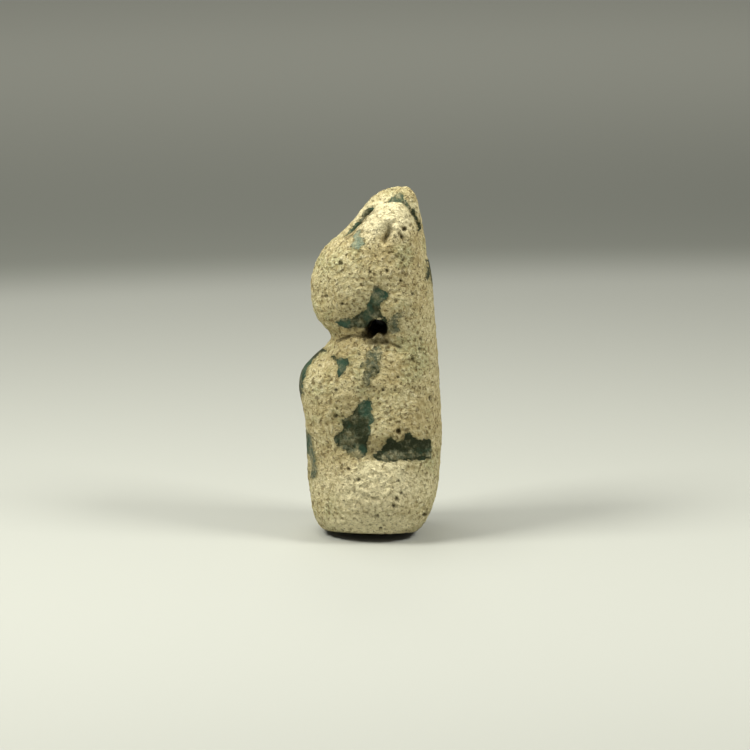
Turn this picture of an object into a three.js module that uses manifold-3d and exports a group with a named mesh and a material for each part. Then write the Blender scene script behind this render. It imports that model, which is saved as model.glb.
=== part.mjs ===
// Small faience amulet of a seated cat, worn nearly smooth, pierced from side to side at the neck.
// Millimetres, +Z up. The cat looks along -Y, its left flank is on +X, and the origin is the
// centre of the flat underside that it stands on.

import * as THREE from "three";
import { mergeVertices } from "three/addons/utils/BufferGeometryUtils.js";
import Module from "manifold-3d";

// Driving sizes
const HEIGHT = 22; // underside to ear tips
const DEPTH = 9; // chest to back
const WIDTH = 7.8; // haunch to haunch
const HOLE_DIAMETER = 1.28; // for the cord that the amulet was worn on
const HOLE_SIDES = 16;
const HOLE_RISE = 3; // degrees by which it climbs towards the right flank
const MOUTH_DIAMETER = 2; // where the cord has worn the hole's mouths wider
const MOUTH_DEPTH = 0.28;

// Depths of the worn carving
const EAR_VALLEY_DEPTH = 1.7;
const NECK_CREASE_DEPTH = 0.24;
const JAW_RECESS_DEPTH = 0.3;
const LEG_RECESS_DEPTH = 0.38;
const TAIL_GROOVE_DEPTH = 0.38;
const FORELEG_GROOVE_DEPTH = 0.55;
const EYE_DEPTH = 0.3;
const CHEEK_DEPTH = 0.2;
const HAUNCH_SWELL = 0.14;

// How far the left side is worn back: the ear's tip, the ear's front and the foreleg
const WEAR = { earTip: 0.45, earFront: 0.4, foreleg: 0.42 };

// How finely the surface is faceted, across, from front to back, and up
const FACETS = { across: 18, deep: 20, up: 50 };

// The block that was modelled, as level sections from the underside to the ear tips. Heights are
// shares of HEIGHT, front and back of DEPTH from the middle, half of WIDTH.
const SECTIONS = [
  { at: 0.0, front: -0.446, back: 0.455, half: 0.456 }, // underside, before its rim is rounded
  { at: 0.13, front: -0.452, back: 0.48, half: 0.48 }, // paws
  { at: 0.286, front: -0.461, back: 0.502, half: 0.5 }, // haunches
  { at: 0.386, front: -0.478, back: 0.493, half: 0.487 },
  { at: 0.432, front: -0.496, back: 0.487, half: 0.474 }, // chest
  { at: 0.477, front: -0.474, back: 0.481, half: 0.462 },
  { at: 0.514, front: -0.397, back: 0.475, half: 0.448 },
  { at: 0.55, front: -0.3, back: 0.469, half: 0.431 },
  { at: 0.586, front: -0.268, back: 0.462, half: 0.419 }, // neck
  { at: 0.618, front: -0.338, back: 0.456, half: 0.428 }, // chin
  { at: 0.659, front: -0.396, back: 0.448, half: 0.453 },
  { at: 0.714, front: -0.415, back: 0.436, half: 0.474 }, // muzzle and cheeks
  { at: 0.773, front: -0.399, back: 0.421, half: 0.469 },
  { at: 0.827, front: -0.335, back: 0.401, half: 0.451 }, // brow
  { at: 0.873, front: -0.225, back: 0.387, half: 0.432 },
  { at: 0.945, front: -0.098, back: 0.354, half: 0.39 }, // foot of the ears
  { at: 0.991, front: 0.045, back: 0.308, half: 0.338 },
  { at: 1.0, front: 0.13, back: 0.265, half: 0.3 }, // ear tips
];
const ROUNDNESS = { front: 2.25, back: 2.9 }; // exponents of each section's outline: 2 is an ellipse

// The rim of the underside is rounded: the flat is this share of the section above, and the
// rounding ends at this height.
const RIM = { flat: 0.66, top: 0.17 * HEIGHT, curve: 0.6 };

const outline = new THREE.CubicInterpolant(
  SECTIONS.map((row) => row.at * HEIGHT),
  SECTIONS.flatMap((row) => [row.front * DEPTH, row.back * DEPTH, row.half * WIDTH]),
  3,
);

// The front, the back and the half width of the section at a height
function sectionAt(z) {
  const short = 1 - Math.min(z / RIM.top, 1);
  const rounding = THREE.MathUtils.lerp(RIM.flat, 1, (1 - short ** 2) ** RIM.curve);
  return Array.from(outline.evaluate(z), (size) => size * rounding);
}

// True where a point lies in the block before it is carved.
function inBlock(p) {
  if (p.z < 0 || p.z > HEIGHT) return false;
  const [front, back, half] = sectionAt(p.z);
  const middle = (front + back) / 2;
  const reach = (back - front) / 2;
  const power = p.y < middle ? ROUNDNESS.front : ROUNDNESS.back;
  return Math.abs(p.x / half) ** power + Math.abs((p.y - middle) / reach) ** power < 1;
}

// Helpers for carving: a bell that is 1 at its middle, and a step that rises from 0 to 1
const bell = (distance, width) => Math.exp(-((distance / width) ** 2));
const rise = (value, [low, high]) => THREE.MathUtils.smoothstep(value, low, high);

// A point on a flank, seen from the side: shares of DEPTH along Y, and of HEIGHT
const onFlank = (y, z) => new THREE.Vector2(y * DEPTH, z * HEIGHT);

// How far a flank's point is from a line of strokes between the given points
function fromStrokes(point, ends) {
  const line = new THREE.Line3();
  const nearest = new THREE.Vector3();
  const flat = new THREE.Vector3(point.x, point.y, 0);
  let least = Infinity;
  for (let i = 0; i + 1 < ends.length; i++) {
    line.start.set(ends[i].x, ends[i].y, 0);
    line.end.set(ends[i + 1].x, ends[i + 1].y, 0);
    line.closestPointToPoint(flat, true, nearest);
    least = Math.min(least, nearest.distanceTo(flat));
  }
  return least;
}

// Places on the flanks
const HOLE_AT = onFlank(0.07, 0.631);
const NECK_CREASE = [onFlank(-0.3, 0.592), onFlank(-0.05, 0.602), onFlank(0.22, 0.572)];
const JAW_RECESS = [
  onFlank(-0.19, 0.652),
  onFlank(-0.01, 0.664),
  onFlank(0.07, 0.71),
  onFlank(0.13, 0.738),
];
const LEG_RECESS = [onFlank(0.0, 0.41), onFlank(-0.13, 0.335), onFlank(-0.09, 0.28)];
const TAIL_GROOVE = [onFlank(0.06, 0.268), onFlank(0.2, 0.284), onFlank(0.42, 0.286)];
const HAUNCH_AT = onFlank(0.23, 0.37);
const EAR_FRONT_AT = onFlank(-0.08, 0.93);

// Half widths of the carving's strokes and hollows on the flanks
const STROKE = {
  crease: 0.06 * WIDTH,
  jaw: 0.085 * WIDTH,
  leg: 0.12 * WIDTH,
  groove: 0.075 * WIDTH,
  haunch: 0.27 * WIDTH,
  earFront: 0.16 * WIDTH,
};

// Where the flanks' carving fades in, as shares of a section's half width
const FLANK_FADE = [0.35, 0.8];

// What is carved into both flanks alike
function flankCarving(p, half) {
  const point = new THREE.Vector2(p.y, p.z);
  const crease = bell(fromStrokes(point, NECK_CREASE), STROKE.crease);
  const jaw = bell(fromStrokes(point, JAW_RECESS), STROKE.jaw);
  const leg = bell(fromStrokes(point, LEG_RECESS), STROKE.leg);
  const groove = bell(fromStrokes(point, TAIL_GROOVE), STROKE.groove);
  const haunch = bell(point.distanceTo(HAUNCH_AT), STROKE.haunch);
  const mouth = bell(point.distanceTo(HOLE_AT), MOUTH_DIAMETER / 2);
  const carved =
    NECK_CREASE_DEPTH * crease +
    JAW_RECESS_DEPTH * jaw +
    LEG_RECESS_DEPTH * leg +
    TAIL_GROOVE_DEPTH * groove +
    MOUTH_DEPTH * mouth -
    HAUNCH_SWELL * haunch;
  return carved * rise(Math.abs(p.x) / half, FLANK_FADE);
}

// The valley between the ears starts at the brow and runs on down the nape, in shares of DEPTH,
// HEIGHT and WIDTH. Its floor starts to sink at the foot and is deepest from the brim up.
const VALLEY = {
  behind: [-0.1, 0.3],
  foot: { front: 0.855, nape: 0.74 },
  brim: { front: 0.94, nape: 0.98 },
  slope: [0, 0.27],
};

function earValley(p) {
  const behind = rise(p.y / DEPTH, VALLEY.behind);
  const foot = THREE.MathUtils.lerp(VALLEY.foot.front, VALLEY.foot.nape, behind);
  const brim = THREE.MathUtils.lerp(VALLEY.brim.front, VALLEY.brim.nape, behind);
  const slope = rise(Math.abs(p.x) / WIDTH, VALLEY.slope);
  return EAR_VALLEY_DEPTH * rise(p.z / HEIGHT, [foot, brim]) * (1 - slope);
}

// The wear of the left ear, in shares of WIDTH across and of HEIGHT up
const LEFT_EAR = { across: [0.05, 0.2], up: [0.9, 0.98] };

function earWear(p) {
  const fromFront = new THREE.Vector2(p.y, p.z).distanceTo(EAR_FRONT_AT);
  const front = WEAR.earFront * bell(fromFront, STROKE.earFront);
  const tip = WEAR.earTip * rise(p.z / HEIGHT, LEFT_EAR.up);
  return rise(p.x / WIDTH, LEFT_EAR.across) * (front + tip);
}

// The front's carving, in shares of WIDTH across and of HEIGHT up: worn eyes on the brow,
// hollows beside the muzzle, and the forelegs' groove, beside which the left foreleg is worn
const FRONT_FADE = [0.12, 0.34]; // shares of DEPTH in front of the middle
const EYE = { across: 0.17, wide: 0.075, up: 0.79, high: 0.026 };
const CHEEK = { across: 0.31, wide: 0.1, up: 0.72, high: 0.035 };
const LEGS = { foot: [0.05, 0.15], top: [0.25, 0.39], groove: 0.035, wide: 0.045, worn: [0.04, 0.16] };

function hollow(p, { across, wide, up, high }) {
  return bell(Math.abs(p.x) / WIDTH - across, wide) * bell(p.z / HEIGHT - up, high);
}

function frontCarving(p) {
  const up = p.z / HEIGHT;
  const legs = rise(up, LEGS.foot) * (1 - rise(up, LEGS.top));
  const groove = FORELEG_GROOVE_DEPTH * bell(p.x / WIDTH - LEGS.groove, LEGS.wide);
  const worn = WEAR.foreleg * rise(p.x / WIDTH, LEGS.worn);
  const face = EYE_DEPTH * hollow(p, EYE) + CHEEK_DEPTH * hollow(p, CHEEK);
  return rise(-p.y / DEPTH, FRONT_FADE) * (face + legs * (groove + worn));
}

// What is carved off along the ray that found a point
function carving(p) {
  const half = sectionAt(p.z)[2];
  return flankCarving(p, half) + frontCarving(p) + earWear(p);
}

// The spine inside the figure, and how steeply its outermost rays leave the ends
const SPINE = { low: 0.14 * HEIGHT, high: 0.82 * HEIGHT, y: 0.01 * DEPTH };
const END_TILT = THREE.MathUtils.degToRad(46);
const FANNING = 3; // how late along the spine the rays start to tilt: an odd power
const UPRIGHT = Math.PI / 2;

// A corner of the cube becomes a ray from the spine: level in the middle, fanning out towards the
// ends, and upright at the middle of the top.
function rayFrom(cube) {
  const reach = Math.max(Math.abs(cube.x), Math.abs(cube.y));
  const onTop = THREE.MathUtils.lerp(UPRIGHT, END_TILT, reach);
  const tilt = cube.z === 1 ? onTop : END_TILT * cube.z ** FANNING;
  const level = new THREE.Vector2(cube.x, cube.y).normalize().multiplyScalar(Math.cos(tilt));
  const height = THREE.MathUtils.lerp(SPINE.low, SPINE.high, (cube.z + 1) / 2);
  const direction = new THREE.Vector3(level.x, level.y, Math.sin(tilt)).normalize();
  return new THREE.Ray(new THREE.Vector3(0, SPINE.y, height), direction);
}

// Where a ray leaves the block: small steps outward, then halving.
const STEP = 0.05;
const HALVINGS = 20;

function blockPoint(ray) {
  const p = new THREE.Vector3();
  let inner = 0;
  while (inBlock(ray.at(inner + STEP, p))) inner += STEP;
  let outer = inner + STEP;
  for (let i = 0; i < HALVINGS; i++) {
    const middle = (inner + outer) / 2;
    if (inBlock(ray.at(middle, p))) inner = middle;
    else outer = middle;
  }
  return ray.at(inner, p);
}

// The ear valley sinks without drawing its sides together, so its carving goes straight inward.
function carvedPoint(ray) {
  const p = blockPoint(ray);
  const inward = ray.direction.clone().setX(0);
  const valley = inward.multiplyScalar(-earValley(p));
  return p.addScaledVector(ray.direction, -carving(p)).add(valley);
}

// A corner of the cube's bottom lies on the flat underside, at its share of the way to the rim.
function undersidePoint(cube) {
  const centre = new THREE.Vector3(0, SPINE.y, 0);
  const share = Math.max(Math.abs(cube.x), Math.abs(cube.y));
  if (share === 0) return centre;
  const level = new THREE.Vector3(cube.x, cube.y, 0).normalize();
  return centre.clone().lerp(blockPoint(new THREE.Ray(centre, level)), share);
}

// The figure: a finely divided cube whose every corner is cast out onto the block, then carved.
const SAME_PLACE = 1e-4; // corners nearer than this are one corner

function figureGeometry() {
  const cube = new THREE.BoxGeometry(2, 2, 2, FACETS.across, FACETS.deep, FACETS.up);
  cube.deleteAttribute("normal");
  cube.deleteAttribute("uv");
  const figure = mergeVertices(cube, SAME_PLACE);
  const corners = figure.getAttribute("position");
  const corner = new THREE.Vector3();
  for (let i = 0; i < corners.count; i++) {
    corner.fromBufferAttribute(corners, i);
    const p = corner.z === -1 ? undersidePoint(corner) : carvedPoint(rayFrom(corner));
    corners.setXYZ(i, p.x, p.y, p.z);
  }
  return figure;
}

// The hole for the cord runs from flank to flank, and its cutter reaches beyond both.
function holeGeometry() {
  const radius = HOLE_DIAMETER / 2;
  const hole = new THREE.CylinderGeometry(radius, radius, 1.5 * WIDTH, HOLE_SIDES);
  hole.rotateZ(UPRIGHT);
  hole.rotateY(THREE.MathUtils.degToRad(HOLE_RISE));
  hole.translate(0, HOLE_AT.x, HOLE_AT.y);
  return hole;
}

const wasm = await Module();
wasm.setup();

function solid(geometry) {
  const shape = geometry.clone();
  shape.deleteAttribute("normal");
  shape.deleteAttribute("uv");
  const merged = mergeVertices(shape, SAME_PLACE);
  const vertProperties = new Float32Array(merged.getAttribute("position").array);
  const triVerts = new Uint32Array(merged.index.array);
  return new wasm.Manifold(new wasm.Mesh({ numProp: 3, vertProperties, triVerts }));
}

function geometryOf(manifold) {
  const mesh = manifold.getMesh();
  const geometry = new THREE.BufferGeometry();
  geometry.setAttribute("position", new THREE.BufferAttribute(mesh.vertProperties, 3));
  geometry.setIndex(new THREE.BufferAttribute(mesh.triVerts, 1));
  geometry.computeVertexNormals();
  return geometry;
}

const faience = new THREE.MeshStandardMaterial({
  name: "faience",
  color: 0xbfb48f,
  roughness: 0.85,
  metalness: 0,
});

const pierced = solid(figureGeometry()).subtract(solid(holeGeometry()));
const amulet = new THREE.Mesh(geometryOf(pierced), faience);
amulet.name = "cat_amulet";

const part = new THREE.Group();
part.add(amulet);

export default part;
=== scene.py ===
import math
import bmesh
import bpy
import numpy as np
from mathutils import Matrix, Vector, noise


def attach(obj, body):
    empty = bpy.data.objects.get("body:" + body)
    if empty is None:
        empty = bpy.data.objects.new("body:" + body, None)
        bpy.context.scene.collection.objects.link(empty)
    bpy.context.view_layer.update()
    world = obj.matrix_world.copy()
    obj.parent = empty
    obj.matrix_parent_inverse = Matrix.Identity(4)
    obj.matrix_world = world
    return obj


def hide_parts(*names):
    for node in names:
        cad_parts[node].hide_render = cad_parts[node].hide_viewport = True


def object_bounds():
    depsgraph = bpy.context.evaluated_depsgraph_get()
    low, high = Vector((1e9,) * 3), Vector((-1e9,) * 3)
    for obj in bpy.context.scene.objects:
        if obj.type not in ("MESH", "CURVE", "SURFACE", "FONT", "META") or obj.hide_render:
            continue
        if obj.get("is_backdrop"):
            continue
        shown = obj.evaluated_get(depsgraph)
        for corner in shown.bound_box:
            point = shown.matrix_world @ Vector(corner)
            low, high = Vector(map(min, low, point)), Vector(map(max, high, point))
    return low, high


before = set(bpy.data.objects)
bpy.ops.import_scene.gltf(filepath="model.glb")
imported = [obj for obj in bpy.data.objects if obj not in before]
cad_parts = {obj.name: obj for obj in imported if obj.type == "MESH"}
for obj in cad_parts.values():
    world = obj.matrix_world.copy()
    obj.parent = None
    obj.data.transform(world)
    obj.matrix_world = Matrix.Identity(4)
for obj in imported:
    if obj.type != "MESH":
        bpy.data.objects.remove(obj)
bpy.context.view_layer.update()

# The view
# The amulet stands upright and is seen from its left flank, a little from above, through a long
# lens. What was placed on the photograph is given in its pixels, 750 a side.
AZIMUTH = math.radians(94)
ELEVATION = math.radians(12)
DISTANCE = 0.28
AIM = Vector((0, 0.00032, 0.01019))
PICTURE = 750
PIXELS_PER_MM = 15.8
SENSOR = 36.0
NEAREST_SEEN = 0.01
MM = 1000  # in a metre

back = Vector((
    math.sin(AZIMUTH) * math.cos(ELEVATION),
    -math.cos(AZIMUTH) * math.cos(ELEVATION),
    math.sin(ELEVATION),
))
camera = bpy.data.objects.new("camera", bpy.data.cameras.new("camera"))
camera.data.sensor_width = SENSOR
camera.data.lens = SENSOR * DISTANCE * MM * PIXELS_PER_MM / PICTURE
camera.data.clip_start = NEAREST_SEEN
camera.rotation_mode = "QUATERNION"
camera.rotation_quaternion = back.to_track_quat("Z", "Y")
camera.location = AIM + back * DISTANCE
bpy.context.scene.collection.objects.link(camera)
bpy.context.scene.camera = camera
bpy.context.view_layer.update()


def seen_at(points):
    """Where points in millimetres show in the photograph, in pixels."""
    turn = np.array(camera.matrix_world.to_3x3())
    turned = (points / MM - np.array(camera.location)) @ turn
    scale = PICTURE * camera.data.lens / SENSOR / -turned[:, 2]
    return np.c_[PICTURE / 2 + scale * turned[:, 0], PICTURE / 2 - scale * turned[:, 1]]


# The body
# One small figure, pressed in a mould from a paste of crushed quartz and fired. Handling has worn
# it nearly smooth. It is worked in millimetres here and turned to metres when it is whole.
VOXEL = 0.0912
SMOOTHING = 4
SMOOTHING_SHARE = 0.5
ROUNDINGS = 2
SAME_PLACE = 0.001
QUAD_BEND = 0.7  # radians by which the two halves of a four-sided face may differ
HOLE_AT = Vector((0, 0.63, 13.882))
HOLE_RISE = math.radians(3)  # towards the right flank
HOLE_ALONG = Vector((math.cos(HOLE_RISE), 0, -math.sin(HOLE_RISE)))
HOLE_RADIUS = 0.64
WALL_WITHIN = HOLE_RADIUS + 0.002

core = bmesh.new()
core.from_mesh(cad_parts["cat_amulet"].data)
bmesh.ops.scale(core, vec=(MM, MM, MM), verts=core.verts)
bmesh.ops.remove_doubles(core, verts=core.verts, dist=SAME_PLACE)


def off_axis(point):
    return (point - HOLE_AT).cross(HOLE_ALONG).length


# The plain hole is closed, so that the flanks can be smoothed whole, and is drilled again below.
wall = [f for f in core.faces if all(off_axis(v.co) < WALL_WITHIN for v in f.verts)]
bmesh.ops.delete(core, geom=wall, context="FACES")
bmesh.ops.holes_fill(core, edges=[e for e in core.edges if e.is_boundary], sides=0)
bmesh.ops.join_triangles(
    core, faces=core.faces, angle_face_threshold=QUAD_BEND, angle_shape_threshold=QUAD_BEND
)


def in_scene(name, data):
    """An object of that name in the scene, for a mesh, a light or a finished bmesh."""
    if isinstance(data, bmesh.types.BMesh):
        mesh = bpy.data.meshes.new(name)
        data.to_mesh(mesh)
        data.free()
        data = mesh
    made = bpy.data.objects.new(name, data)
    bpy.context.scene.collection.objects.link(made)
    return made


body = in_scene("cat", core)
rounding = body.modifiers.new("rounding", "SUBSURF")
rounding.levels = rounding.render_levels = ROUNDINGS


def cut_or_add(name, operation, other):
    step = body.modifiers.new(name, "BOOLEAN")
    step.operation = operation
    step.solver = "EXACT"
    step.object = other


# The hole for the cord
# It was pierced from flank to flank while the paste was soft. The cord has worn its mouths wider,
# and hard dirt sits on the lower lip of the left one.
BORE_SIDES = 40
BORE_RINGS = 90
BORE_HALF = 5.0
BORE_ROUGHNESS = 0.1
BORE_WAVES = 1.7  # to a millimetre
MOUTH_FROM = 2.4
MOUTH_FLARE = 0.16
DIRT_LUMPS = [  # centre and half sizes, in millimetres
    ((2.85, 0.78, 13.27), (0.34, 0.28, 0.26)),
    ((2.98, 1.02, 13.1), (0.25, 0.22, 0.18)),
    ((2.95, 0.36, 13.16), (0.2, 0.14, 0.1)),
]
LUMP_SWELL = 0.35
LUMP_SWELL_WAVES = 1.6
LUMP_CHIPS = 0.2
LUMP_CHIP_WAVES = 4

bore = bmesh.new()
across = Vector((0, 1, 0))
up = HOLE_ALONG.cross(across)
rings = []
for i in range(BORE_RINGS + 1):
    along = BORE_HALF * (2 * i / BORE_RINGS - 1)
    centre = HOLE_AT + HOLE_ALONG * along
    flare = MOUTH_FLARE * max(0, abs(along) - MOUTH_FROM)
    ring = []
    for j in range(BORE_SIDES):
        angle = 2 * math.pi * j / BORE_SIDES
        outward = across * math.cos(angle) + up * math.sin(angle)
        rough = BORE_ROUGHNESS * noise.noise((centre + outward) * BORE_WAVES)
        ring.append(bore.verts.new(centre + outward * (HOLE_RADIUS + flare + rough)))
    rings.append(ring)
for lower, upper in zip(rings, rings[1:]):
    for j in range(BORE_SIDES):
        k = (j + 1) % BORE_SIDES
        bore.faces.new((lower[j], lower[k], upper[k], upper[j]))
bore.faces.new(rings[0])
bore.faces.new(rings[-1])
bmesh.ops.recalc_face_normals(bore, faces=bore.faces)
drill = in_scene("drill", bore)
cut_or_add("cut", "DIFFERENCE", drill)

spent = [drill]
for place, size in DIRT_LUMPS:
    lump = bmesh.new()
    bmesh.ops.create_icosphere(lump, subdivisions=3, radius=1)
    for v in lump.verts:
        swell = LUMP_SWELL * noise.noise(v.co * LUMP_SWELL_WAVES + Vector(place))
        chips = LUMP_CHIPS * noise.noise(v.co * LUMP_CHIP_WAVES)
        v.co *= 1 + swell + chips
    bmesh.ops.scale(lump, vec=size, verts=lump.verts)
    bmesh.ops.translate(lump, vec=place, verts=lump.verts)
    spent.append(in_scene("dirt_and_shade", lump))
    cut_or_add("add", "UNION", spent[-1])

even = body.modifiers.new("even", "REMESH")
even.mode = "VOXEL"
even.voxel_size = VOXEL
soften = body.modifiers.new("soften", "SMOOTH")
soften.factor = SMOOTHING_SHARE
soften.iterations = SMOOTHING


def bake_modifiers(made):
    """Turns an object's modifiers into its plain mesh, and gives that mesh."""
    graph = bpy.context.evaluated_depsgraph_get()
    mesh = bpy.data.meshes.new_from_object(made.evaluated_get(graph))
    made.modifiers.clear()
    made.data = mesh
    return mesh


mesh = bake_modifiers(body)
for tool in spent:
    bpy.data.objects.remove(tool)

count = len(mesh.vertices)
places = np.empty(count * 3)
outward = np.empty(count * 3)
mesh.vertices.foreach_get("co", places)
mesh.vertices.foreach_get("normal", outward)
places = places.reshape(-1, 3)
outward = outward.reshape(-1, 3)
seen = seen_at(places)
facing = outward @ np.array(back)

# The remains of the glaze
# A dark green glass, once all over the figure. It is left only where hands and cord could not
# rub it off, in the hollows of the carving, as a thin and slightly proud skin with torn edges.
SKIN = 0.035
EVERYWHERE = 9.0
LEFT_SIDE = 0.6
EAR_SIDE = 1.3
RIGHT_SHIFT = (-3, 5)  # pixels by which the right flank's patches lie elsewhere
RIGHT_SHRINK = 0.12  # and millimetres by which they are smaller
RIGHT_WEAR = 0.3
PATCHY_WAVES = 0.45
TEARS = [(3.1, 1), (6.3, 2)]  # waves to a millimetre, and seed
TEAR_DEPTH = 0.06
TEAR_FADE = (-0.6, -0.1)
THINNING = 0.35
THINNING_WAVES = 1.7
FILM_FROM = 0.9  # what is worn more than this is an even film
LEFT_GLAZE = {  # how thin it is worn, and its outline on the photograph
    "jaw": (0.15, [
        (335, 322), (341, 319), (350, 318), (357, 315), (361, 312), (366, 309), (368, 303),
        (371, 297), (373, 290), (374, 286), (381, 288), (388, 292), (389, 297), (386, 300),
        (381, 303), (380, 309), (383, 315), (389, 322), (380, 330), (370, 327), (363, 327),
        (355, 328), (346, 328), (339, 326)]),
    "behind the hole": (0.6, [
        (387, 326), (390, 318), (395, 314), (402, 312), (402, 316), (397, 319), (398, 325),
        (400, 331), (394, 333), (388, 332)]),
    "below the neck": (0, [
        (331, 357), (335, 355), (338, 358), (349, 359), (350, 364), (346, 369), (343, 374),
        (338, 377), (337, 372), (339, 367), (336, 361)]),
    "below the hole": (0.5, [
        (366, 353), (371, 350), (380, 344), (382, 352), (380, 362), (380, 370), (375, 377),
        (369, 378), (371, 385), (367, 388), (363, 382), (364, 373), (366, 367), (360, 367),
        (361, 363), (366, 360)]),
    "foreleg": (0.1, [
        (368, 398), (372, 402), (372, 412), (376, 420), (371, 425), (370, 436), (367, 445),
        (368, 452), (362, 457), (355, 457), (350, 451), (345, 448), (338, 447), (334, 438),
        (337, 434), (342, 430), (343, 424), (341, 420), (352, 415), (354, 411), (358, 404),
        (364, 401)]),
    "foreleg foot": (0.55, [
        (338, 447), (345, 445), (352, 448), (358, 446), (362, 452), (365, 456), (358, 458),
        (351, 455), (344, 450)]),
    "tail": (0, [
        (372, 457), (376, 453), (382, 449), (385, 443), (386, 437), (392, 437), (397, 441),
        (401, 441), (404, 438), (405, 434), (409, 432), (412, 435), (416, 438), (421, 440),
        (428, 438), (431, 440), (431, 459), (426, 460), (400, 460), (395, 462), (388, 462),
        (380, 461), (376, 459)]),
    # Partly painted light: the glaze on the lower, upward-facing side of the tail groove is made
    # thinner and greyer, as that side is lit.
    "tail groove, lit lower side": (0.35, [
        (377, 457), (386, 451), (396, 448), (404, 453), (412, 449), (420, 454), (430, 451),
        (431, 456), (418, 457), (402, 459), (388, 461)]),
    "brow": (1, [
        (352, 250), (351, 244), (354, 240), (353, 236), (357, 232), (361, 230), (360, 236),
        (364, 239), (365, 244), (361, 247), (359, 251), (355, 249)]),
}
EAR_GLAZE = {  # in the valley between the ears, and on the far ear
    "front": (0.1, [
        (362, 217), (364, 211), (369, 208), (376, 207), (375, 212), (371, 217), (366, 221)]),
    "valley": (0.2, [
        (344, 237), (348, 232), (354, 226), (360, 220), (366, 216), (368, 219), (362, 226),
        (355, 232), (350, 239), (346, 241)]),
    "top": (0.4, [
        (387, 204), (391, 197), (395, 195), (400, 192), (403, 193), (404, 199), (409, 205),
        (411, 209), (402, 208), (393, 207)]),
    "behind": (0, [
        (411, 209), (414, 208), (416, 214), (420, 222), (421, 229), (418, 231), (417, 222),
        (413, 216)]),
}
EDGE_GLAZE = {  # it goes on round the chest, the shins and the nape, out of sight
    "chest": (0.1, [
        (322, 347), (326, 351), (319, 354), (313, 361), (308, 369), (305, 379), (303, 389),
        (302, 398), (290, 398), (285, 347)]),
    "shin": (0.3, [
        (300, 422), (305, 427), (308, 433), (311, 436), (313, 444), (316, 455), (317, 466),
        (317, 475), (314, 480), (311, 477), (312, 468), (311, 458), (308, 452), (307, 461),
        (308, 474), (300, 478)]),
    "nape": (0, [
        (426, 260), (428, 264), (429, 270), (431, 277), (432, 286), (445, 285), (445, 258)]),
    "nape streak": (0, [
        (425, 278), (427, 272), (426, 266), (429, 268), (430, 274), (427, 281)]),
}


def to_path(points, path):
    """How far points are from an open path, in the same units."""
    start = np.array(path[:-1], float)
    step = np.array(path[1:], float) - start
    away = points[:, None] - start
    along = np.clip((away * step).sum(2) / (step ** 2).sum(1), 0, 1)
    return np.linalg.norm(away - along[..., None] * step, axis=2).min(1)


def within(points, outline):
    """How deep points lie within an outline, in the same units: below 0 outside it."""
    depth = to_path(points, outline + outline[:1])
    start = np.array(outline, float)
    step = np.roll(start, -1, 0) - start
    away = points[:, None] - start
    spans = (away[..., 1] < 0) != (away[..., 1] < step[:, 1])
    flat = np.where(step[:, 1] == 0, 1, step[:, 1])
    crossed = away[..., 0] < step[:, 0] * away[..., 1] / flat
    inside = (spans & crossed).sum(1) % 2 == 1
    return np.where(inside, depth, -depth)


def grain(points, per_mm, seed):
    """Smooth noise from -1 to 1, with so many waves to a millimetre."""
    shift = Vector((seed * 7.3, seed * 3.1, seed * 5.7))
    return np.array([noise.noise(Vector(p) * per_mm + shift) for p in points])


def rise(value, low, high):
    """From 0 at low to 1 at high, softly."""
    way = np.clip((value - low) / (high - low), 0, 1)
    return way * way * (3 - 2 * way)


glaze = np.full(count, -EVERYWHERE)
thin = np.zeros(count)


def leave_glaze(patches, where, reach, shift=(0, 0), shrink=0.0):
    """Marks patches of glaze, where the points show at where and reach is above 0."""
    for worn, outline in patches.values():
        depth = within(where - np.array(shift), outline) / PIXELS_PER_MM - shrink
        depth = np.minimum(depth, reach)
        thin[depth > 0] = worn
        np.maximum(glaze, depth, out=glaze)


far_side = seen_at(places * (-1, 1, 1))
turned_away = outward @ (np.array(back) * (-1, 1, 1))
patchy = grain(places, PATCHY_WAVES, 8)
on_right = np.minimum(-places[:, 0] - LEFT_SIDE, turned_away) - RIGHT_WEAR * patchy
leave_glaze(LEFT_GLAZE, far_side, on_right, RIGHT_SHIFT, RIGHT_SHRINK)
leave_glaze(LEFT_GLAZE, seen, np.minimum(places[:, 0] - LEFT_SIDE, facing))
leave_glaze(EAR_GLAZE, seen, EAR_SIDE - places[:, 0])
leave_glaze(EDGE_GLAZE, seen, EVERYWHERE + patchy)
torn = sum(TEAR_DEPTH * grain(places, per_mm, seed) for per_mm, seed in TEARS)
glaze += torn * rise(glaze, *TEAR_FADE)
thin += (thin < FILM_FROM) * THINNING * grain(places, THINNING_WAVES, 5)

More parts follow.
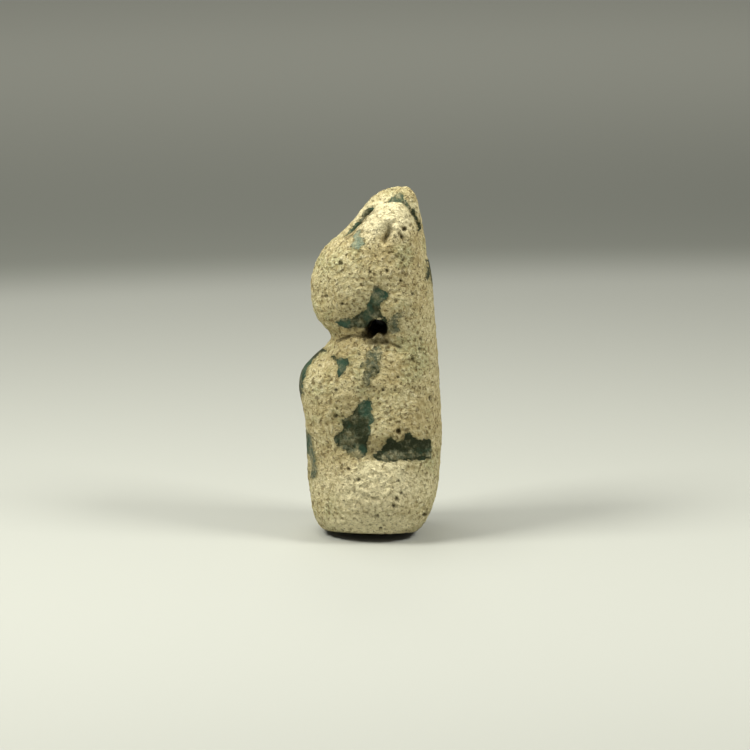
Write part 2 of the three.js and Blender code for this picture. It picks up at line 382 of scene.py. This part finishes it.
# Wear
# The paste is gritty, coarser on the worn lower flank, and what is left of the carving is darker
# in its depth: the crease of the neck and the larger pores, and the knock in the ear and the
# valley between the ears, where the darkening is painted shade.
GRIT = [(0.8, 0.04), (1.9, 0.045), (3.5, 0.05)]  # waves to a millimetre, and depth
GRIT_LOST_IN_GLAZE = 0.7
COARSE_AT = (368, 490)
COARSE_SIZE = (56, 42)
COARSE_FADE = (0.5, 1.1)
COARSE_GRIT = [(1.7, 0.12), (3.0, 0.12)]
SKIN_EDGE = 0.03
UNEVEN_WAVES = 1.6
UNEVEN_FADE = (-0.3, 0.3)
UNEVEN_LEAST = 0.5
CREASE_FADE = (0.2, 1.7)
LARGE_PORE_FADE = (0.3, 1.1)
LARGE_PORE_DARKENING = 0.9
CREASES = [  # path and half width in pixels, depth in millimetres, how dark it is made
    ([(337, 341), (342, 339), (348, 337), (354, 336), (360, 337), (366, 335)], 1.5, 0.15, 0.8),
    ([(386, 341), (390, 343), (395, 345), (400, 348)], 1.4, 0.12, 0.8),
    ([(390, 225), (390, 229), (388, 234), (385, 240)], 3.6, 0.3, 0.42),
    ([(347, 238), (353, 231), (360, 224), (367, 217), (373, 212)], 1.5, 0.16, 0.8),
    ([(404, 204), (410, 210), (414, 216), (418, 224)], 1.3, 0.12, 0.8),
    ([(400, 227), (404, 229), (406, 228)], 1.2, 0.1, 0.8),
    ([(399, 233), (402, 236), (403, 239)], 1.2, 0.1, 0.6),
]
SWELLINGS = [  # middle and half sizes in pixels, height in millimetres, below 0 for a hollow
    ((372, 502), (66, 46), 0.34),
    ((386, 221), (34, 25), 0.14),
    ((385, 235), (9, 15), -0.42),
    ((369, 235), (4, 5), -0.07),
    ((339, 252), (5, 5), -0.04),
    ((340, 273), (5, 4), -0.04),
    ((366, 335), (8, 6), -0.4),
    ((377, 320), (9, 3), 0.07),
]
LARGE_PORES = [  # middle and half width in pixels
    (340, 263, 3.0), (404, 229, 2.8), (402, 237, 2.4), (387, 271, 2.4), (370, 272, 2.0),
    (326, 296, 2.0), (401, 281, 2.1), (413, 294, 2.3), (403, 260, 1.9), (342, 304, 2.2),
    (421, 339, 2.2), (420, 349, 2.2), (413, 359, 2.4), (359, 354, 1.8), (398, 377, 1.8),
    (431, 398, 3.0), (336, 416, 2.6), (398, 431, 2.8), (349, 469, 2.3), (359, 479, 2.4),
    (396, 497, 2.4), (401, 492, 2.0), (398, 480, 1.9), (378, 514, 2.0), (381, 527, 2.2),
    (425, 515, 2.8), (393, 504, 2.0), (383, 390, 2.0), (336, 390, 2.2), (319, 365, 1.8),
]

skin = rise(glaze, -SKIN_EDGE, SKIN_EDGE)
height = SKIN * skin
for per_mm, deep in GRIT:
    height += deep * grain(places, per_mm, per_mm) * (1 - GRIT_LOST_IN_GLAZE * skin)
near = facing > 0
away = np.linalg.norm((seen - COARSE_AT) / COARSE_SIZE, axis=1)
coarse = near * (1 - rise(away, *COARSE_FADE))
for per_mm, deep in COARSE_GRIT:
    height += deep * np.abs(grain(places, per_mm, per_mm + 1)) * coarse
dirt_and_shade = np.zeros(count)
uneven = rise(grain(places, UNEVEN_WAVES, 9), *UNEVEN_FADE)
uneven = UNEVEN_LEAST + (1 - UNEVEN_LEAST) * uneven
# The knock in the ear and the valley between the ears are darkened as painted shade; the other
# creases are darkened along their depth.
for path, half, deep, darkening in CREASES:
    depth = near * (1 - rise(to_path(seen, path) / half, *CREASE_FADE)) * uneven
    height -= deep * depth
    dirt_and_shade = np.maximum(dirt_and_shade, darkening * depth)
for middle, size, high in SWELLINGS:
    away = np.linalg.norm((seen - middle) / size, axis=1)
    height += high * near * (1 - rise(away, 0, 1))
for x, y, half in LARGE_PORES:
    away = np.linalg.norm(seen - (x, y), axis=1) / half
    depth = near * (1 - rise(away, *LARGE_PORE_FADE)) * (1 - skin)
    height -= half / PIXELS_PER_MM * depth
    dirt_and_shade = np.maximum(dirt_and_shade, LARGE_PORE_DARKENING * depth)
places += outward * height[:, None]

# The rim of the underside is clear of the table, most of all under the left flank.
FOOT_HALF = (3.0, 3.4)
FOOT_CLEAR = 0.24
FOOT_CLEAR_LEFT = 0.34
FOOT_FLAT = (0.3, 0.75)  # the shares of it where the flat ends and the rim is fully clear
UNDER_SHADE_FADE = (0.8, 1.1)  # the shares of the clearance between which the painted shade under the rim ends
UNDER_SHADE_FADE_MORE = 0.05  # and how much higher it still ends, in millimetres
out_along = np.linalg.norm(places[:, :2] / FOOT_HALF, axis=1)
clear = FOOT_CLEAR + FOOT_CLEAR_LEFT * np.clip(places[:, 0] / FOOT_HALF[0], 0, 1)
clear *= rise(out_along, *FOOT_FLAT)
# Painted shade: where the rim is clear of the table, the paste low down on it is darkened as the
# shade in the gap under it.
shade_ends = UNDER_SHADE_FADE[1] * clear + UNDER_SHADE_FADE_MORE
under_shade = 1 - rise(places[:, 2], UNDER_SHADE_FADE[0] * clear, shade_ends)
places[:, 2] = np.maximum(places[:, 2], clear)
mesh.vertices.foreach_set("co", places.ravel())

# The colours of this wear and of painted light and shade are kept on the points: dirt, and
# painted shade inside the hole, by its lumps and under the rim of the underside; a painted
# highlight of bare paste on the upper rim of the hole; paste that hands have cleaned and
# bleached, which is also painted paler where light falls on it; and glaze that is sea green more
# than black.
LIP_AT = (2.9, 0.9, 13.2)
LIP_SIZE = (0.9, 0.7, 0.42)
LIP_FADE = (0.7, 1.1)
LIP_UNSHADED = 0.8  # nearer the lip than this, the wall of the hole has no painted shade of its own
LIP_SHARE = 0.35
LIP_SHARE_MORE = 0.4
MOUTH_SHADE = (HOLE_RADIUS + 0.02, HOLE_RADIUS + 0.2)
# Painted highlight: a pale arc of bare paste along the upper rim of the hole, where light catches
# it.
RIM_HIGHLIGHT = [(369, 326), (371, 322), (375, 319), (382, 318)]
RIM_HIGHLIGHT_FADE = (0.7, 1.8)
GLAZE_UNDER_HIGHLIGHT = -0.05
HOLE_SHADE_SPOTS = [  # painted shade in the hollow by the hole and under its lumps; middle and half sizes in pixels, here and below
    ((366, 335), (8, 7)), ((373, 342), (9, 5)), ((385, 341), (7, 5)),
]
HOLE_SHADE_FADE = (0.3, 1.1)
HOLE_SHADE_SHARE = 0.85
UNDER_SHADE_SHARE = 0.9
SPOTS_UNEVEN = 0.35
# Paler paste: where hands rubbed it, and also painted light on the top of the ear, the
# upward-facing lower flank and the foot's rim lit from the table.
RUBBED_AND_LIT = [((384, 220), (38, 28)), ((374, 488), (58, 38)), ((374, 522), (58, 14))]
RUBBED_AND_LIT_FADE = (0.45, 1.15)
SEA_FADE = (0.4, 1.1)
SEA_GREEN = [
    ((340, 324), (11, 8)), ((380, 297), (12, 12)), ((368, 312), (5, 14)), ((342, 366), (12, 14)),
    ((366, 409), (10, 12)), ((373, 424), (6, 12)), ((361, 450), (11, 10)), ((390, 200), (26, 20)),
    ((352, 232), (20, 20)), ((308, 375), (8, 30)), ((313, 450), (8, 36)),
]


def spotted(spots, start, end):
    """1 in the middle of the spots and 0 outside them, unevenly."""
    found = np.zeros(count)
    for middle, size in spots:
        away = np.linalg.norm((seen - middle) / size, axis=1) + SPOTS_UNEVEN * patchy
        found = np.maximum(found, near * (1 - rise(away, start, end)))
    return found


hole_off = np.linalg.norm(np.cross(places - HOLE_AT, HOLE_ALONG), axis=1)
lip = np.linalg.norm((places - LIP_AT) / LIP_SIZE, axis=1)
for darkening in (
    # painted shade inside the hole: its wall and mouth are darkened
    (1 - rise(hole_off, *MOUTH_SHADE)) * (lip > LIP_UNSHADED),
    (LIP_SHARE + LIP_SHARE_MORE * uneven) * (1 - rise(lip, *LIP_FADE)),
    # painted shade in the hollow by the hole and under its lumps
    HOLE_SHADE_SHARE * spotted(HOLE_SHADE_SPOTS, *HOLE_SHADE_FADE),
    # painted shade under the rim of the underside
    UNDER_SHADE_SHARE * under_shade,
):
    dirt_and_shade = np.maximum(dirt_and_shade, darkening)
# Painted highlight on the upper rim of the hole: no glaze there, and paste as pale as rubbed
# paste.
rim_highlight = near * (1 - rise(to_path(seen, RIM_HIGHLIGHT), *RIM_HIGHLIGHT_FADE))
glaze[rim_highlight > 0.5] = GLAZE_UNDER_HIGHLIGHT
marks = (
    ("glaze", glaze), ("thin", thin), ("dirt_and_shade", dirt_and_shade * (1 - rim_highlight)),
    ("rubbed_and_lit", np.maximum(spotted(RUBBED_AND_LIT, *RUBBED_AND_LIT_FADE), rim_highlight)),
    ("sea", spotted(SEA_GREEN, *SEA_FADE)),
)
for name, values in marks:
    mesh.attributes.new(name, "FLOAT", "POINT").data.foreach_set("value", values)

# The pores
# Gas and lost grains left small pits all over the bare paste. They are scattered over the
# surface with a fixed seed, and each is pressed in along the surface's own direction.
PORES_PER_MM2 = 0.9
PORE_RADIUS = (0.05, 0.12)
PORE_DEPTH = 0.9  # of its radius
PORE_FADE = (0.3, 1.35)  # of its radius, from the full depth to none
PORE_SEED = 11
BARE_BELOW = -0.02  # how far outside the glaze the pores start, in millimetres

faience = bpy.data.materials.new("faience")


def linked(tree, kind, inputs=(), **settings):
    """A new node with those settings, whose inputs are values or other nodes' outputs."""
    made = tree.nodes.new(kind)
    for name, value in settings.items():
        setattr(made, name, value)
    for name, value in dict(inputs).items():
        if isinstance(value, bpy.types.NodeSocket):
            tree.links.new(value, made.inputs[name])
        else:
            made.inputs[name].default_value = value
    return made


def calculated(tree, operation, *values):
    """The output of a math node, whose inputs are numbers or other nodes' outputs."""
    return linked(tree, "ShaderNodeMath", enumerate(values), operation=operation).outputs[0]


pit = bpy.data.node_groups.new("pores", "GeometryNodeTree")
face = pit.interface
face.new_socket("Body", in_out="OUTPUT", socket_type="NodeSocketGeometry")
face.new_socket("Body", in_out="INPUT", socket_type="NodeSocketGeometry")
settings = {}
for name, value in (
    ("Pores per mm2", PORES_PER_MM2),
    ("Smallest radius", PORE_RADIUS[0]),
    ("Largest radius", PORE_RADIUS[1]),
    ("Depth", PORE_DEPTH),
):
    socket = face.new_socket(name, in_out="INPUT", socket_type="NodeSocketFloat")
    settings[socket.identifier] = value
seed_socket = face.new_socket("Seed", in_out="INPUT", socket_type="NodeSocketInt")
settings[seed_socket.identifier] = PORE_SEED

given = pit.nodes.new("NodeGroupInput").outputs
kept = linked(pit, "GeometryNodeInputNamedAttribute", {"Name": "glaze"}, data_type="FLOAT")
bare = linked(pit, "FunctionNodeCompare", {"A": kept.outputs[0], "B": BARE_BELOW},
              data_type="FLOAT", operation="LESS_THAN")
scattered = linked(
    pit, "GeometryNodeDistributePointsOnFaces",
    {"Mesh": given["Body"], "Density": given["Pores per mm2"], "Seed": given["Seed"],
     "Selection": bare.outputs[0]},
)
radius = linked(
    pit, "FunctionNodeRandomValue",
    {"Min": given["Smallest radius"], "Max": given["Largest radius"], "Seed": given["Seed"]},
    data_type="FLOAT",
)
here = pit.nodes.new("GeometryNodeInputPosition")
nearest = linked(
    pit, "GeometryNodeSampleNearest", {"Geometry": scattered.outputs["Points"]}, domain="POINT"
)


def at_nearest(kind, value):
    return linked(
        pit, "GeometryNodeSampleIndex",
        {"Geometry": scattered.outputs["Points"], "Value": value,
         "Index": nearest.outputs["Index"]},
        data_type=kind, domain="POINT",
    ).outputs[0]


away = linked(
    pit, "ShaderNodeVectorMath",
    {0: here.outputs[0], 1: at_nearest("FLOAT_VECTOR", here.outputs[0])}, operation="DISTANCE",
)
pore_radius = at_nearest("FLOAT", radius.outputs[1])
profile = linked(
    pit, "ShaderNodeMapRange",
    {"Value": calculated(pit, "DIVIDE", away.outputs["Value"], pore_radius),
     "From Min": PORE_FADE[0], "From Max": PORE_FADE[1], "To Min": 1.0, "To Max": 0.0},
    interpolation_type="SMOOTHSTEP",
).outputs["Result"]
depth = calculated(pit, "MULTIPLY", calculated(pit, "MULTIPLY", profile, pore_radius),
                   given["Depth"])
inward = linked(
    pit, "ShaderNodeVectorMath",
    {0: pit.nodes.new("GeometryNodeInputNormal").outputs[0],
     "Scale": calculated(pit, "MULTIPLY", depth, -1)},
    operation="SCALE",
)
marked = linked(
    pit, "GeometryNodeStoreNamedAttribute",
    {"Geometry": given["Body"], "Name": "pore", "Value": profile},
    data_type="FLOAT", domain="POINT",
)
pitted = linked(
    pit, "GeometryNodeSetPosition",
    {"Geometry": marked.outputs[0], "Offset": inward.outputs[0]},
)
whole = linked(pit, "GeometryNodeRealizeInstances", {"Geometry": pitted.outputs[0]})
coated = linked(
    pit, "GeometryNodeSetMaterial", {"Geometry": whole.outputs[0], "Material": faience}
)
pit.links.new(coated.outputs[0], pit.nodes.new("NodeGroupOutput").inputs["Body"])

pores = body.modifiers.new("pores", "NODES")
pores.node_group = pit
for identifier, value in settings.items():
    pores[identifier] = value
mesh = bake_modifiers(body)
mesh.transform(Matrix.Scale(1 / MM, 4))
mesh.name = "cat"
mesh.shade_smooth()

# The colours of the paste and of the glaze
# The paste is sandy beige, with pale grains and dark ones, and its pits darker. It is paler where
# rubbed, and paler still where light is painted on it. The glaze is nearly black where it is
# thick, sea green where it is thinner and grey where it is scratched.
PASTE = (0.55, 0.455, 0.24, 1)
PASTE_PALE = (0.65, 0.58, 0.34, 1)
PASTE_GREENISH = (0.48, 0.48, 0.26, 1)
PASTE_RUBBED_AND_LIT = (0.92, 0.83, 0.54, 1)
GRAIN_LIGHT = (0.96, 0.89, 0.62, 1)
GRAIN_DARK = (0.33, 0.255, 0.105, 1)
PIT = (0.135, 0.095, 0.034, 1)
DIRT_AND_SHADE = (0.045, 0.034, 0.012, 1)
STAIN = (0.22, 0.20, 0.095, 1)
GLAZE_THICK = (0.021, 0.027, 0.009, 1)
GLAZE_SEA = (0.03, 0.066, 0.04, 1)
GLAZE_GREY = (0.135, 0.15, 0.095, 1)
GLAZE_FILM = (0.21, 0.26, 0.185, 1)
SHINE = 0.15
PASTE_ROUGHNESS = 0.95
GLAZE_ROUGHNESS = 0.55
GLAZE_BUMPS = 0.5  # the share of the paste's bumps that show through the glaze
BUMP_HEIGHT = 0.0003
DRIFT_WAVES = 5.0  # to a millimetre
DRIFT = 0.3  # millimetres by which grains and pits are pulled out of shape
GRAINS_PER_MM = 4.4
PIT_SIZES = [(2.4, 0.40), (4.2, 0.38)]  # cells to a millimetre, and the largest pit in cells
PIT_EDGE = (-0.06, 0.12)
MOSTLY_TINY = 2.2
RUBBED_AND_LIT_OFF = 0.45  # the share of dark grains and pits taken away where the paste is rubbed, and where light is painted on it
RUBBED_AND_LIT_SHARE = 0.85
STAIN_WIDTH = 0.2  # in millimetres, beside the glaze
STAIN_SHARE = 0.6
PITS_SHARE = 0.6
DIRT_AND_SHADE_SHARE = 0.92
SEA_MORE = 0.32
SCRATCHED_BY_GRAIN = 0.9
SCRATCHED_BY_WEAR = 0.5
FILM_FADE = (0.75, 0.95)
FILM_HOLDS = 0.7
RAGGED = 0.3  # millimetres by which the edge of the glaze goes in and out
GLAZE_EDGE = (-0.015, 0.035)
GAP_MORE = 1.1

faience.use_nodes = True
tree = faience.node_tree
shader = tree.nodes["Principled BSDF"]
shader.inputs["Specular IOR Level"].default_value = SHINE
place = tree.nodes.new("ShaderNodeTexCoord").outputs["Object"]
in_mm = linked(tree, "ShaderNodeVectorMath", {0: place, "Scale": MM}, operation="SCALE")
in_mm = in_mm.outputs["Vector"]


def speckle(per_mm, detail, rough=0.5):
    """Soft noise around a half, with so many specks to a millimetre."""
    return linked(
        tree, "ShaderNodeTexNoise",
        {"Vector": in_mm, "Scale": per_mm, "Detail": detail, "Roughness": rough},
    ).outputs["Fac"]


def stepped(value, start, end):
    """From 0 at start to 1 at end, softly."""
    return linked(
        tree, "ShaderNodeMapRange", {"Value": value, "From Min": start, "From Max": end},
        interpolation_type="SMOOTHSTEP",
    ).outputs["Result"]


def mixed(amount, under, over):
    """One colour laid over another by an amount from 0 to 1."""
    made = linked(tree, "ShaderNodeMix", {"Factor": amount}, data_type="RGBA")
    for socket, colour in ((made.inputs["A"], under), (made.inputs["B"], over)):
        if isinstance(colour, bpy.types.NodeSocket):
            tree.links.new(colour, socket)
        else:
            socket.default_value = colour
    return made.outputs["Result"]


def marked_on_body(name):
    return linked(tree, "ShaderNodeAttribute", attribute_name=name).outputs["Fac"]


def share(value, amount):
    return calculated(tree, "MULTIPLY", value, amount)


drift = linked(tree, "ShaderNodeTexNoise", {"Vector": in_mm, "Scale": DRIFT_WAVES, "Detail": 2.0})
drift = linked(
    tree, "ShaderNodeVectorMath", {0: drift.outputs["Color"], 1: (0.5, 0.5, 0.5)},
    operation="SUBTRACT",
)
drift = linked(
    tree, "ShaderNodeVectorMath", {0: drift.outputs[0], "Scale": DRIFT}, operation="SCALE"
)
drifted = linked(
    tree, "ShaderNodeVectorMath", {0: in_mm, 1: drift.outputs[0]}, operation="ADD"
).outputs[0]


def cells(per_mm):
    return linked(
        tree, "ShaderNodeTexVoronoi", {"Vector": drifted, "Scale": per_mm, "Randomness": 1.0}
    ).outputs


def pits(per_mm, largest):
    """Small ragged pits of mixed sizes: 1 within one, 0 outside. Most are tiny."""
    cell = cells(per_mm)
    chance = linked(tree, "ShaderNodeSeparateColor", {"Color": cell["Color"]})
    size = share(calculated(tree, "POWER", chance.outputs[0], MOSTLY_TINY), largest)
    return stepped(calculated(tree, "SUBTRACT", size, cell["Distance"]), *PIT_EDGE)


def tinted(under, colour, pattern, start, end, amount=1.0):
    """One colour laid over another where a pattern goes from start, for none, to end."""
    return mixed(share(stepped(pattern, start, end), amount), under, colour)


broad = speckle(0.33, 3.0)
patches = speckle(0.55, 3.0)
fine = speckle(3.5, 3.0, 0.6)
finest = speckle(8.0, 3.0, 0.65)
specks = speckle(4.3, 2.0, 0.6)
mottle = speckle(1.6, 4.0, 0.7)
flaked = speckle(3.0, 4.0, 0.7)
sand = cells(GRAINS_PER_MM)["Distance"]
small_pits = calculated(tree, "MAXIMUM", *(pits(*sizes) for sizes in PIT_SIZES))

rubbed_and_lit = marked_on_body("rubbed_and_lit")
paste = tinted(PASTE, PASTE_PALE, broad, start=0.35, end=0.65)
paste = tinted(paste, PASTE_GREENISH, patches, start=0.5, end=0.68, amount=0.6)
# Paler where rubbed, and painted light where light falls on the ear, the lower flank and the
# foot.
paste = mixed(share(rubbed_and_lit, RUBBED_AND_LIT_SHARE), paste, PASTE_RUBBED_AND_LIT)
paste = tinted(paste, GRAIN_LIGHT, fine, start=0.54, end=0.70, amount=0.4)
specks_kept = calculated(tree, "MULTIPLY_ADD", rubbed_and_lit, -RUBBED_AND_LIT_OFF, 1.0)
for pattern, start, end, amount in (
    (fine, 0.52, 0.36, 0.6),
    (finest, 0.47, 0.32, 0.35),
    (sand, 0.45, 0.8, 0.3),
):
    grains = calculated(tree, "MULTIPLY", stepped(pattern, start, end), specks_kept)
    paste = mixed(share(grains, amount), paste, GRAIN_DARK)
dark = share(small_pits, PITS_SHARE)
for pattern, start, end, amount in (
    (specks, 0.42, 0.34, 0.75),
    (marked_on_body("pore"), 0.15, 0.8, 0.6),
):
    dark = calculated(tree, "MAXIMUM", dark, share(stepped(pattern, start, end), amount))
paste = mixed(calculated(tree, "MULTIPLY", dark, specks_kept), paste, PIT)
depth_in_glaze = marked_on_body("glaze")
stain = stepped(depth_in_glaze, -STAIN_WIDTH, 0.0)
stain = calculated(tree, "MULTIPLY", stain, stepped(fine, start=0.62, end=0.42))
paste = mixed(share(stain, STAIN_SHARE), paste, STAIN)
# Dark paste for dirt, and as painted shade inside the hole, by its lumps and under the rim of the
# underside.
paste = mixed(share(marked_on_body("dirt_and_shade"), DIRT_AND_SHADE_SHARE), paste, DIRT_AND_SHADE)

worn = marked_on_body("thin")
sea = calculated(tree, "MULTIPLY_ADD", marked_on_body("sea"), SEA_MORE, mottle)
green = tinted(GLAZE_THICK, GLAZE_SEA, sea, start=0.50, end=0.76)
scratches = share(worn, SCRATCHED_BY_WEAR)
scratches = calculated(tree, "MULTIPLY_ADD", fine, SCRATCHED_BY_GRAIN, scratches)
green = tinted(green, GLAZE_GREY, scratches, start=0.47, end=0.78, amount=0.8)
film = stepped(worn, *FILM_FADE)
green = mixed(film, green, GLAZE_FILM)
edge = depth_in_glaze
for pattern in (finest, fine):
    in_and_out = share(calculated(tree, "SUBTRACT", pattern, 0.5), RAGGED)
    edge = calculated(tree, "ADD", edge, in_and_out)
flaking = calculated(tree, "SUBTRACT", worn, share(film, FILM_HOLDS))
gap = calculated(tree, "MULTIPLY", stepped(flaked, start=0.38, end=0.62), flaking)
unbroken = calculated(tree, "MULTIPLY_ADD", gap, -GAP_MORE, 1.0)
glazed = calculated(tree, "MULTIPLY", stepped(edge, *GLAZE_EDGE), unbroken)
tree.links.new(mixed(glazed, paste, green), shader.inputs["Base Color"])


def by_glaze(on_paste, on_glaze):
    """A value that is one number on the bare paste and another on the glaze."""
    return linked(
        tree, "ShaderNodeMapRange", {"Value": glazed, "To Min": on_paste, "To Max": on_glaze}
    ).outputs["Result"]


tree.links.new(by_glaze(PASTE_ROUGHNESS, GLAZE_ROUGHNESS), shader.inputs["Roughness"])
bumps = 0.0
for pattern, amount in ((fine, 0.75), (finest, 0.4), (sand, -0.35), (small_pits, -0.3)):
    bumps = calculated(tree, "MULTIPLY_ADD", pattern, amount, bumps)
relief = linked(
    tree, "ShaderNodeBump",
    {"Height": calculated(tree, "MULTIPLY", bumps, by_glaze(1.0, GLAZE_BUMPS)),
     "Distance": BUMP_HEIGHT},
)
tree.links.new(relief.outputs["Normal"], shader.inputs["Normal"])

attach(body, "root")
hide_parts("cat_amulet")

# The table and the light
# A plain pale table top, with grey ground some way behind the amulet: painted shade there, as of
# an upright backdrop lit less, and painted light on the ground farther off. Soft lamps hang close
# over it, one at each side and one overhead, and one farther off lights the ground.
TABLE = (0.485, 0.495, 0.462, 1)
TABLE_ROUGHNESS = 0.8
TABLE_HALF = 2  # in metres, as the lengths below
GROUND_SHADE = (0.29, 0.30, 0.27, 1)
GROUND_FAR_LIT = (0.71, 0.72, 0.65, 1)
TABLE_MIDDLE = (0.2, 0.057, 0)
TABLE_REACH = (0.287, 0.308)
GROUND_REACH = (0.31, 0.45)

ground = bmesh.new()
bmesh.ops.create_grid(ground, x_segments=1, y_segments=1, size=TABLE_HALF)
table = in_scene("table", ground)
top = bpy.data.materials.new("table")
top.use_nodes = True
tree = top.node_tree
shader = tree.nodes["Principled BSDF"]
shader.inputs["Roughness"].default_value = TABLE_ROUGHNESS
place = tree.nodes.new("ShaderNodeTexCoord").outputs["Object"]
far = linked(tree, "ShaderNodeVectorMath", {0: place, 1: TABLE_MIDDLE}, operation="DISTANCE")
past = stepped(far.outputs["Value"], *TABLE_REACH)
beyond = stepped(far.outputs["Value"], *GROUND_REACH)
grey = mixed(beyond, GROUND_SHADE, GROUND_FAR_LIT)
tree.links.new(mixed(past, TABLE, grey), shader.inputs["Base Color"])
table.data.materials.append(top)
table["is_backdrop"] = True

RIGHT = Vector(camera.matrix_world.to_3x3().col[0])
TOWARDS = Vector((back.x, back.y, 0)).normalized()
LAMPS = {  # metres to the right, towards the viewer and up, then size and watts
    "left": (-0.07, 0.03, 0.10, 0.04, 0.132),
    "right": (0.075, 0.03, 0.09, 0.035, 0.086),
    "above": (-0.02, -0.01, 0.12, 0.05, 0.05),
    "behind": (0.0, -0.24, 0.25, 0.1, 0.09),
}
LAMP_COLOUR = (1, 0.99, 0.9)
SKY = (1, 1, 0.92, 1)
SKY_STRENGTH = 0.175

for name, (right, towards, height_up, size, watts) in LAMPS.items():
    lamp = in_scene(name, bpy.data.lights.new(name, "AREA"))
    lamp.data.size = size
    lamp.data.energy = watts
    lamp.data.color = LAMP_COLOUR
    lamp.visible_camera = False
    lamp.location = RIGHT * right + TOWARDS * towards + Vector((0, 0, height_up))
    lamp.rotation_mode = "QUATERNION"
    lamp.rotation_quaternion = (lamp.location - AIM).to_track_quat("Z", "Y")

world = bpy.data.worlds.new("room")
bpy.context.scene.world = world
world.use_nodes = True
sky = world.node_tree.nodes["Background"]
sky.inputs["Color"].default_value = SKY
sky.inputs["Strength"].default_value = SKY_STRENGTH
bpy.context.scene.view_settings.view_transform = "Standard"

low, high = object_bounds()
